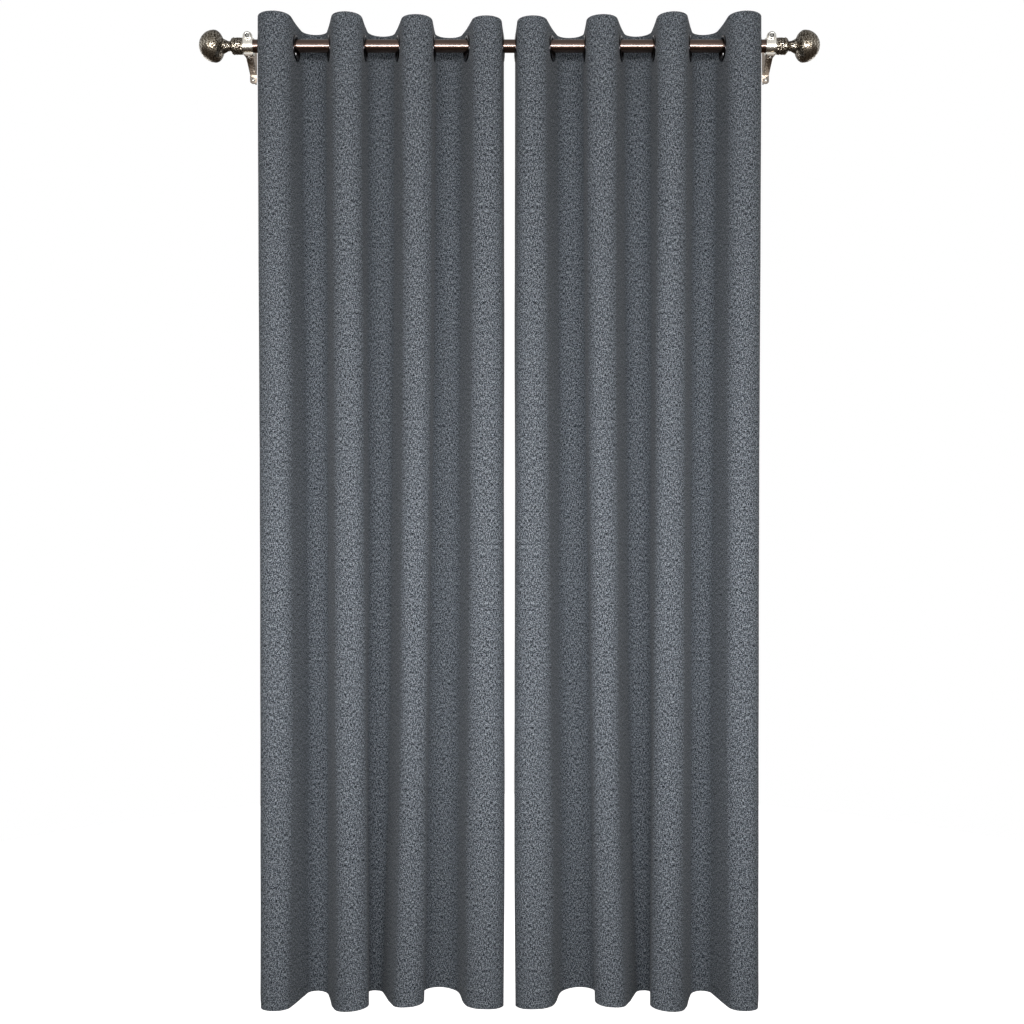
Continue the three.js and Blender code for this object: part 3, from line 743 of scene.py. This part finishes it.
def ring_profiles():
    """Closed outlines of a ring's two halves, as (radius, height towards the room)."""
    bore, barrel, outer = 20 * MM, 21.2 * MM, 28 * MM
    seat, back, crown = 2.0 * MM, 1.8 * MM, 4.6 * MM
    face = [(bore + 0.25 * MM, -seat - back), (barrel - 0.2 * MM, -seat - back)]
    face += [(barrel, -seat - back + 0.3 * MM), (barrel, seat)]
    face += [(outer - 0.4 * MM, seat), (outer, seat + 0.35 * MM)]
    for step in range(1, 12):
        angle = math.pi * step / 12
        reach = (outer + bore) / 2 + (outer - bore) / 2 * math.cos(angle)
        face.append((reach, seat + 0.35 * MM + (crown - seat - 0.35 * MM) * math.sin(angle) ** 0.8))
    face += [(bore, seat + 0.2 * MM), (bore, -seat - back + 0.3 * MM)]
    inner = barrel + 0.3 * MM
    washer = [(inner, -seat), (outer - 0.3 * MM, -seat), (outer, -seat - 0.3 * MM)]
    washer += [(outer, -seat - back + 0.7 * MM), (outer - 0.7 * MM, -seat - back + 0.1 * MM)]
    washer += [(outer - 1.6 * MM, -seat - back), (inner + 0.8 * MM, -seat - back)]
    washer += [(inner, -seat - back + 0.6 * MM)]
    return face, washer


def build_rings(metal):
    """The face ring with its barrel, and the back ring pressed onto it, at every ring of both panels."""
    material = black_nickel(metal)
    face, washer = ring_profiles()
    for side in SIDES:
        for number in range(1, RINGS + 1):
            centre, axis = ring_frame(side, number)
            turn = -SIDES[side] * HEADER_LEAN[number - 1] * (1 if number % 2 else -1)
            axis = np.array(Matrix.Rotation(turn, 3, "Z") @ Vector(axis))
            for half, profile, sign in (("front", face, 1), ("back", washer, 1)):
                points, faces = turned_mesh(profile, centre, axis, 64, closed=True)
                finish_piece(
                    f"{side}_grommet_{number}_{half}", points, faces, material,
                    f"{side}_ring_{number}", [f"{side}_ring_{number}_{half}"],
                )


def tube_profile(outer, inner, start, end):
    """A tube's wall with its cut ends lightly rounded."""
    ease = 0.25 * MM
    return [
        (outer - ease, start), (outer, start + ease), (outer, end - ease), (outer - ease, end),
        (inner + ease, end), (inner, end - ease), (inner, start + ease), (inner + ease, start),
    ]


def build_rod(metal):
    """The outer tube and the inner tube that slides in it."""
    material = lacquered_tube(metal)
    for name, body in (("outer_tube", ROOT), ("inner_tube", "inner_tube")):
        low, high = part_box(name)
        outer = (high.z - low.z) / 2
        profile = tube_profile(outer, outer - 1 * MM, low.x, high.x)
        points, faces = turned_mesh(profile, (0, ROD_Y, 0), (1, 0, 0), metal.sides, closed=True)
        finish_piece(f"rod_{name}", points, faces, material, body, [name])


# ------------------------------------------------------------------ finials


def reach(node):
    """A finial piece's two ends, measured outwards from the middle of the rod, and its radius."""
    low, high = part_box(node)
    return (*sorted((abs(low.x), abs(high.x))), (high.z - low.z) / 2)


def with_relief(piece, values):
    """Stores the carving's height on a piece for its material."""
    layer = piece.data.attributes.new("relief", "FLOAT", "POINT")
    layer.data.foreach_set("value", np.asarray(values, np.float32))
    return piece


def hammered(point, size):
    """Height of hammered and pierced metal, from 0 in a pit to 1 on a bead."""
    return max(0.0, min(1.0, 0.5 + 1.1 * noise.noise(Vector(point) / size)))


def leaf_relief(along, angle, point):
    """Height of the carving on the ball: rows of feathered leaves over the outer end, beads near the neck.

    along runs from 0 at the neck to 1 at the tip."""
    scallop = abs((angle * 8 / math.pi) % 1 - 0.5)
    rows = 0.5 + 0.5 * math.cos(2 * math.pi * (along * 7 + scallop))
    veins = 0.5 + 0.5 * math.cos(angle * 48 + along * 26)
    leaves = 0.25 + 0.45 * rows + 0.3 * veins
    beads = hammered(point, 2.6 * MM)
    share = min(1.0, max(0.0, (along - 0.3) / 0.25))
    return leaves * share + beads * (1 - share)


def build_finial_ball(side, sign, material):
    """The carved ball, with its stud towards the neck."""
    stud_end, tip, radius = reach(f"{side}_finial_ball")
    widest = tip - radius
    neck_side, base_radius, stud = 20.5 * MM, 16 * MM, 4 * MM
    base_angle = math.acos(base_radius / radius)
    base = widest - neck_side * math.sin(base_angle)
    rows = 84
    shell = []
    for step in range(rows + 1):
        angle = -base_angle + (math.pi / 2 + base_angle) * step / rows
        depth = radius if angle > 0 else neck_side
        shell.append((radius * math.cos(angle), widest + depth * math.sin(angle)))
    profile = [(0, stud_end), (stud - 0.4 * MM, stud_end), (stud, stud_end + 0.4 * MM), (stud, base)]
    profile += shell
    carve = 0.6 * MM
    heights = []

    def carved(r, h, angle):
        if h <= base or r <= 0:
            heights.append(0.4)
            return r, h
        along = (h - base) / (tip - base)
        fade = min(1.0, 4 * math.sin(math.pi * min(1.0, max(0.0, along))))
        height = leaf_relief(along, angle, (h, r * math.cos(angle), r * math.sin(angle)))
        heights.append(height)
        shrink = 1 - carve * (1 - height) * fade / radius
        return r * shrink, widest + (h - widest) * shrink

    points, faces = turned_mesh(profile, (0, ROD_Y, 0), (sign, 0, 0), 168, shape=carved)
    piece = finish_piece(
        f"{side}_finial_carved_ball", points, faces, material, f"{side}_finial",
        [f"{side}_finial_ball"],
    )
    with_relief(piece, heights)
    return piece


def build_finial_neck(side, sign, material):
    """The waisted neck between the collar and the ball, with turned beads."""
    stud_end, seat, shoulder = reach(f"{side}_finial_neck")
    start = stud_end + 15 * MM
    stud, socket = 4 * MM, 4.3 * MM
    outline = [
        (0, 17.2), (0.5, 17.5), (1.2, 17.5), (1.9, 17.2), (2.6, 16.6), (3.3, 15.7), (4.0, 14.6), (4.7, 13.5),
        (5.4, 12.5), (6.1, 11.7), (6.8, 11.1), (7.5, 10.7), (8.2, 10.6), (8.9, 10.9), (9.5, 11.3),
        (10.1, 10.9), (10.8, 10.7), (11.6, 10.9), (12.4, 11.2),
    ]
    outline += [(13.2 + 0.8 * step, 11.6 + 0.4 * step) for step in range(11)]
    outline += [(22.3, 16.1)]
    profile = [(0, stud_end), (stud - 0.4 * MM, stud_end), (stud, stud_end + 0.4 * MM), (stud, start)]
    profile += [(r * MM * shoulder / (17.5 * MM), start + x * MM) for x, r in outline]
    profile += [(socket, seat), (socket, seat - 11.3 * MM), (0, seat - 11.3 * MM)]
    heights = []

    def beaded(r, h, angle):
        height = hammered((h, r * math.cos(angle), r * math.sin(angle)), 2.2 * MM)
        shown = 1 if r > socket + MM and start < h < seat else 0
        heights.append(height if shown else 0.4)
        return r - 0.7 * MM * shown * (1 - height), h

    points, faces = turned_mesh(profile, (0, ROD_Y, 0), (sign, 0, 0), 144, shape=beaded)
    piece = finish_piece(
        f"{side}_finial_turned_neck", points, faces, material, f"{side}_finial",
        [f"{side}_finial_neck"],
    )
    with_relief(piece, heights)
    return piece


def build_finial_collar(side, sign, material, bore):
    """The pierced collar: a rimmed sleeve cut through with leaf-shaped openings."""
    start, end, outer = reach(f"{side}_finial_collar")
    length = end - start
    columns = np.arange(0, 180) * 2 * math.pi / 180
    rows = np.linspace(0, length, 42)

    def place(angle, along, front):
        edge = np.minimum(along, length - along)
        rim = np.exp(-(edge / (2.1 * MM)) ** 4)
        swell = 0.9 * MM * np.sin(np.clip(along / length, 0, 1) * math.pi)
        ease = 0.35 * MM * np.exp(-(edge / (0.35 * MM)) ** 2)
        beads = 0.9 * MM * (1 - rim) * np.array([
            1 - hammered((along[i], outer * math.cos(angle[i]), outer * math.sin(angle[i])), 2.2 * MM)
            for i in range(len(angle))
        ])
        surface = outer - 1.3 * MM + 1.3 * MM * rim + swell * (1 - rim) - ease - (beads if front else 0)
        inside = bore + (outer - 3.1 * MM - bore + swell) * (1 - rim)
        r = surface if front else np.minimum(inside, surface - 0.9 * MM)
        x = sign * (start + along)
        return np.stack([x, ROD_Y + r * np.cos(angle), r * np.sin(angle)], axis=1)

    holes = []
    for index in range(14):
        for row in range(3):
            turn = (index + 0.3 + 0.5 * (row % 2)) * 2 * math.pi / 14
            width = 1.5 * MM if row % 2 else 1.2 * MM
            holes.append((turn, length * (row + 1) / 4, width / outer, 1.7 * MM if row % 2 else 1.3 * MM))
    points, faces, flat = perforated_shell(columns, rows, place, holes, wrap=True)
    if sign > 0:
        faces = [tuple(reversed(face)) for face in faces]
    piece = finish_piece(
        f"{side}_finial_pierced_collar", points, faces, material, f"{side}_finial",
        [f"{side}_finial_collar"],
    )
    beads = [hammered((v, outer * math.cos(u), outer * math.sin(u)), 2.2 * MM) for u, v in flat]
    edge = np.minimum(flat[:, 1], length - flat[:, 1])
    with_relief(piece, np.where(edge < 2 * MM, 0.7, beads))
    return piece


def build_finial_plug(side, sign, tube_outer, material):
    """The plug that grips the tube's end, with flexible ribs along it."""
    start, end, _ = reach(f"{side}_finial_plug")
    inner = tube_outer - 1.3 * MM
    head, bore = 3.0 * MM, 4.3 * MM
    profile = [
        (bore, start), (inner - 1.2 * MM, start), (inner, start + 1.5 * MM), (inner, end - head),
        (tube_outer, end - head), (tube_outer, end), (bore, end),
    ]

    def ribbed(r, h, angle):
        grips = r > inner - 0.1 * MM and h < end - head - 0.1 * MM
        return (r - 0.8 * MM * (0.5 + 0.5 * math.cos(angle * 12)) ** 2 if grips else r), h

    points, faces = turned_mesh(profile, (0, ROD_Y, 0), (sign, 0, 0), 96, shape=ribbed, closed=True)
    return finish_piece(
        f"{side}_finial_ribbed_plug", points, faces, material, f"{side}_finial",
        [f"{side}_finial_plug"],
    )


def build_finials(metal):
    """Collar, plug, neck and ball at both ends."""
    casting = antique_pewter(metal)
    stamping = antique_pewter(metal, "antique pewter stamping")
    nylon = moulded_nylon(metal)
    for side, sign in SIDES.items():
        tube = "outer_tube" if sign < 0 else "inner_tube"
        tube_outer = (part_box(tube)[1].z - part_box(tube)[0].z) / 2
        build_finial_ball(side, sign, casting)
        build_finial_neck(side, sign, casting)
        build_finial_collar(side, sign, stamping, tube_outer + 0.3 * MM)
        build_finial_plug(side, sign, tube_outer, nylon)


# ------------------------------------------------------------------ brackets and screws


def build_brackets(metal):
    """Cradles and arms keep their frame shape, with rounded edges and a brushed finish."""
    # The arms get a darker, browner copy of the nickel as painted shade.
    finishes = {"cradle": satin_nickel(metal), "arm": shaded_arm_nickel(metal)}
    for side in SIDES:
        for part, material in finishes.items():
            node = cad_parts[f"{side}_bracket_{part}"]
            node.data.materials.clear()
            node.data.materials.append(material)
            soften(node, 0.45 * MM)


def thread_shape(shank, pitch, start, end, depth):
    """Turns a plain shank into a threaded one between two heights."""

    def threaded(r, h, angle):
        on_shank = abs(r - shank) < 1e-6 and start < h < end
        if not on_shank:
            return r, h
        phase = (h / pitch - angle / (2 * math.pi)) % 1
        return r - depth * abs(2 * phase - 1), h

    return threaded


# Axis, facets and lengths in millimetres of each kind of screw.
SCREWS = {
    "retaining_screw": dict(
        axis=1, sides=72, head=5, shank=2, recess=4.1, depth=2.4, point=0.8, pitch=0.7, groove=0.25,
        plain=6, blunt=0.9,
    ),
    "wall_screw": dict(
        axis=1, sides=36, head=2.4, shank=2.1, recess=1.7, depth=1.4, point=7, pitch=1.8, groove=0.5,
        plain=3, blunt=0,
    ),
    "cradle_screw": dict(
        axis=2, sides=36, head=2.2, shank=2, recess=1.6, depth=1.2, point=0.6, pitch=0.7, groove=0.25,
        plain=0.4, blunt=0.7,
    ),
}


def screw_profile(face, tip, radius, size):
    """A screw from the middle of its recess to its tip, heights growing from head to tip."""
    seat = face + size["head"]
    recess, shank = size["recess"], size["shank"]
    profile = [(recess * share, face + size["depth"]) for share in (0, 0.5, 0.8)]
    profile += [(recess, face + 0.3 * MM), (recess + 0.2 * MM, face)]
    profile += arc(radius - 1.2 * MM, face + 1.2 * MM, 1.2 * MM, -90, 0, 5)
    profile += [(radius, seat - 0.2 * MM), (radius - 0.2 * MM, seat), (shank, seat)]
    run = tip - size["point"] - seat
    steps = max(8, int(run / (size["pitch"] / 6)))
    profile += [(shank, seat + run * i / steps) for i in range(1, steps + 1)]
    return profile + [(shank * 0.12, tip - 0.1 * MM), (0, tip)]


def build_screw(kind, node, name, body, material, socketed=False):
    """One screw at its node's place: a recess or a six-sided socket in its head, and a thread."""
    axis, sides = SCREWS[kind]["axis"], SCREWS[kind]["sides"]
    size = {key: value * MM for key, value in SCREWS[kind].items() if key not in ("axis", "sides")}
    low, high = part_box(node)
    face, tip = low[axis], high[axis]
    radius = (high[(axis + 1) % 3] - low[(axis + 1) % 3]) / 2
    threads = thread_shape(
        size["shank"], size["pitch"], face + size["head"] + size["plain"], tip - size["blunt"], size["groove"]
    )

    def shape(r, h, angle):
        if socketed and 0 < r < size["recess"] + 0.01 * MM and h < face + size["depth"] + 0.1 * MM:
            sixth = (angle % (math.pi / 3)) - math.pi / 6
            return r * 0.9 / math.cos(sixth), h
        return threads(r, h, angle)

    direction = Vector([float(i == axis) for i in range(3)])
    origin = (low + high) / 2
    origin[axis] = 0
    points, faces = turned_mesh(screw_profile(face, tip, radius, size), origin, direction, sides, shape=shape)
    return finish_piece(name, points, faces, material, body, [node])


def build_screws(metal):
    """Retaining screws over the rod, wall screws in the feet and cradle screws under the rod."""
    material, socket = turned_steel(metal), recess_painted_shade(metal)
    for side in SIDES:
        node = f"{side}_retaining_screw"
        piece = build_screw("retaining_screw", node, f"{side}_retaining_thumbscrew", node, material, True)
        # Faces in the outer part of the recess get the near-black material, as painted shade inside the
        # recess; the middle of its floor keeps the bright steel.
        piece.data.materials.append(socket)
        low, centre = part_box(node)[0], middle(node)
        head, recess = (SCREWS["retaining_screw"][key] * MM for key in ("head", "recess"))
        for face in piece.data.polygons:
            depth, away = face.center.y - low.y, face.center - centre
            in_recess = 0.2 * MM < depth < head and recess / 2 < math.hypot(away.x, away.z) < recess
            face.material_index = 1 if in_recess else 0
        for where in ("lower", "upper"):
            node = f"{side}_wall_screw_{where}"
            build_screw("wall_screw", node, f"{side}_wall_woodscrew_{where}", ROOT, material)
        node = f"{side}_cradle_screw"
        build_screw("cradle_screw", node, f"{side}_cradle_machine_screw", ROOT, material)


# ------------------------------------------------------------------ stage


def build_stage(stage):
    """Camera, pale floor and soft studio light."""
    scene = bpy.context.scene
    camera = bpy.data.objects.new("studio_camera", bpy.data.cameras.new("studio_camera"))
    scene.collection.objects.link(camera)
    camera.location = (0, ROD_Y - stage.distance, -stage.below_rod)
    camera.rotation_euler = (math.radians(90), 0, 0)
    camera.data.lens = stage.lens
    camera.data.sensor_width = 36
    camera.data.shift_x = stage.shift
    scene.camera = camera
    scene.view_settings.view_transform = "Standard"

    floor_z = FABRIC_BOTTOM - stage.floor_drop
    sides = 64
    angles = [2 * math.pi * i / sides for i in range(sides)]
    points = [(2.6 * math.cos(angle), 2.6 * math.sin(angle), floor_z) for angle in angles]
    mesh = bpy.data.meshes.new("studio_floor")
    mesh.from_pydata(points, [], [tuple(range(sides))])
    floor = bpy.data.objects.new("studio_floor", mesh)
    scene.collection.objects.link(floor)
    material, tree, shader = new_material(
        "pale floor paint", Roughness=0.8, Emission_Color=grey(1), Emission_Strength=1.0
    )
    mottle = object_noise(tree, 1 / 3, 2)
    dress(tree, shader, ramp(tree, mottle, (0.3, srgb("#f2f1ef")), (0.7, stage.floor)))
    mesh.materials.append(material)
    floor.visible_glossy = False
    floor.visible_diffuse = False
    build_world(scene)
    build_lights(scene)


def build_world(scene):
    """White behind the object, a soft sky for its light, and a brighter band for what the metal mirrors."""
    world = bpy.data.worlds.new("studio_sky")
    world.use_nodes = True
    scene.world = world
    tree = world.node_tree
    background = tree.nodes["Background"]
    place = add_node(tree, "ShaderNodeTexCoord").outputs["Generated"]
    height = add_node(tree, "ShaderNodeSeparateXYZ", {"Vector": place}).outputs["Z"]
    up = add_node(tree, "ShaderNodeMapRange", {"Value": height, "From Min": -1, "From Max": 1}).outputs[0]
    soft = ramp(tree, up, (0.0, grey(0.015)), (0.5, grey(0.04)), (0.75, grey(0.2)), (1.0, grey(0.25)))
    mirrored_sky = ramp(
        tree, up,
        (0.0, srgb("#44392f")), (0.46, srgb("#4f443a")), (0.53, grey(0.8)), (0.66, grey(0.9)),
        (0.76, grey(0.4)), (1.0, grey(0.38)),
    )
    path = add_node(tree, "ShaderNodeLightPath").outputs
    sky = mix_colours(tree, path["Is Glossy Ray"], soft, mirrored_sky)
    tree.links.new(mix_colours(tree, path["Is Camera Ray"], sky, grey(1)), background.inputs["Color"])


def build_lights(scene):
    """Softboxes for the cloth at two heights, a long strip that only the metal mirrors, and back fills."""
    middle_z = (FABRIC_TOP + FABRIC_BOTTOM) / 2
    aim = (0, ROD_Y, middle_z)
    low_z = middle_z - 0.25
    boxes = {
        "low_softbox": ((0, ROD_Y - 1.3, low_z), (0, ROD_Y, low_z), (2.3, 0.6), 10),
        "high_softbox": ((0, ROD_Y - 2.6, -0.3), (0, ROD_Y, -0.3), (1.6, 0.35), 17),
        "rod_strip": ((0, ROD_Y - 2.6, -0.52), (0, ROD_Y, 0), (4.6, 0.36), 200),
        "back_fill_left": ((-2.2, 2.4, middle_z + 0.6), aim, (1.2, 2.0), 13),
        "back_fill_right": ((2.2, 2.4, middle_z + 0.6), aim, (1.2, 2.0), 13),
    }
    for name, (location, target, size, power) in boxes.items():
        data = bpy.data.lights.new(name, "AREA")
        data.shape = "RECTANGLE"
        data.size, data.size_y = size
        data.energy = power
        light = bpy.data.objects.new(name, data)
        scene.collection.objects.link(light)
        light.location = location
        light.rotation_euler = (Vector(target) - Vector(location)).to_track_quat("-Z", "Y").to_euler()
        light.visible_camera = False
        light.visible_diffuse = name != "rod_strip"
        light.visible_glossy = "softbox" not in name


# ------------------------------------------------------------------ operators and panel


class CURTAIN_OT_cloth(bpy.types.Operator):
    """Hang both panels, with their buckram and stitching"""

    bl_idname = "curtain.cloth"
    bl_label = "Hang the cloth"

    def execute(self, context):
        cloth, _ = settings()
        panels = build_cloth(cloth)
        strips = build_stiffener(cloth)
        seams = build_stitching(cloth)
        for side, sign in SIDES.items():
            for piece in (panels[side], strips[side], seams[side]):
                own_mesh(piece)
        return {"FINISHED"}


class CURTAIN_OT_rings(bpy.types.Operator):
    """Press the rings into both headers"""

    bl_idname = "curtain.rings"
    bl_label = "Press in the rings"

    def execute(self, context):
        build_rings(settings()[1])
        return {"FINISHED"}


class CURTAIN_OT_rod(bpy.types.Operator):
    """Make the two tubes of the rod"""

    bl_idname = "curtain.rod"
    bl_label = "Make the rod"

    def execute(self, context):
        build_rod(settings()[1])
        return {"FINISHED"}


class CURTAIN_OT_finials(bpy.types.Operator):
    """Make the collar, plug, neck and ball at both ends"""

    bl_idname = "curtain.finials"
    bl_label = "Make the finials"

    def execute(self, context):
        build_finials(settings()[1])
        return {"FINISHED"}


class CURTAIN_OT_brackets(bpy.types.Operator):
    """Finish the cradles and arms, and make their screws"""

    bl_idname = "curtain.brackets"
    bl_label = "Finish the brackets"

    def execute(self, context):
        build_brackets(settings()[1])
        build_screws(settings()[1])
        return {"FINISHED"}


class CURTAIN_OT_stage(bpy.types.Operator):
    """Set up the camera, floor and lights"""

    bl_idname = "curtain.stage"
    bl_label = "Set the stage"

    def execute(self, context):
        build_stage(context.scene.curtain_stage)
        return {"FINISHED"}


class CURTAIN_PT_panel(bpy.types.Panel):
    """Lists the curtain's operators and settings"""

    bl_idname = "CURTAIN_PT_panel"
    bl_label = "Curtain"
    bl_space_type = "VIEW_3D"
    bl_region_type = "UI"
    bl_category = "Curtain"

    def draw(self, context):
        for operator in OPERATORS:
            self.layout.operator(operator.bl_idname)
        for group in (context.scene.curtain_cloth, context.scene.curtain_metal, context.scene.curtain_stage):
            box = self.layout.box()
            for name in group.__annotations__:
                box.prop(group, name)


GROUPS = {"curtain_cloth": ClothSettings, "curtain_metal": MetalSettings, "curtain_stage": StageSettings}
OPERATORS = (
    CURTAIN_OT_stage, CURTAIN_OT_rod, CURTAIN_OT_rings, CURTAIN_OT_cloth, CURTAIN_OT_finials,
    CURTAIN_OT_brackets,
)


def register():
    for made in (*GROUPS.values(), *OPERATORS, CURTAIN_PT_panel):
        bpy.utils.register_class(made)
    for name, group in GROUPS.items():
        setattr(bpy.types.Scene, name, PointerProperty(type=group))


def unregister():
    for name in GROUPS:
        delattr(bpy.types.Scene, name)
    for made in reversed((*GROUPS.values(), *OPERATORS, CURTAIN_PT_panel)):
        bpy.utils.unregister_class(made)


def main():
    register()
    for operator in OPERATORS:
        group, name = operator.bl_idname.split(".")
        getattr(getattr(bpy.ops, group), name)()


if __name__ == "__main__":
    main()
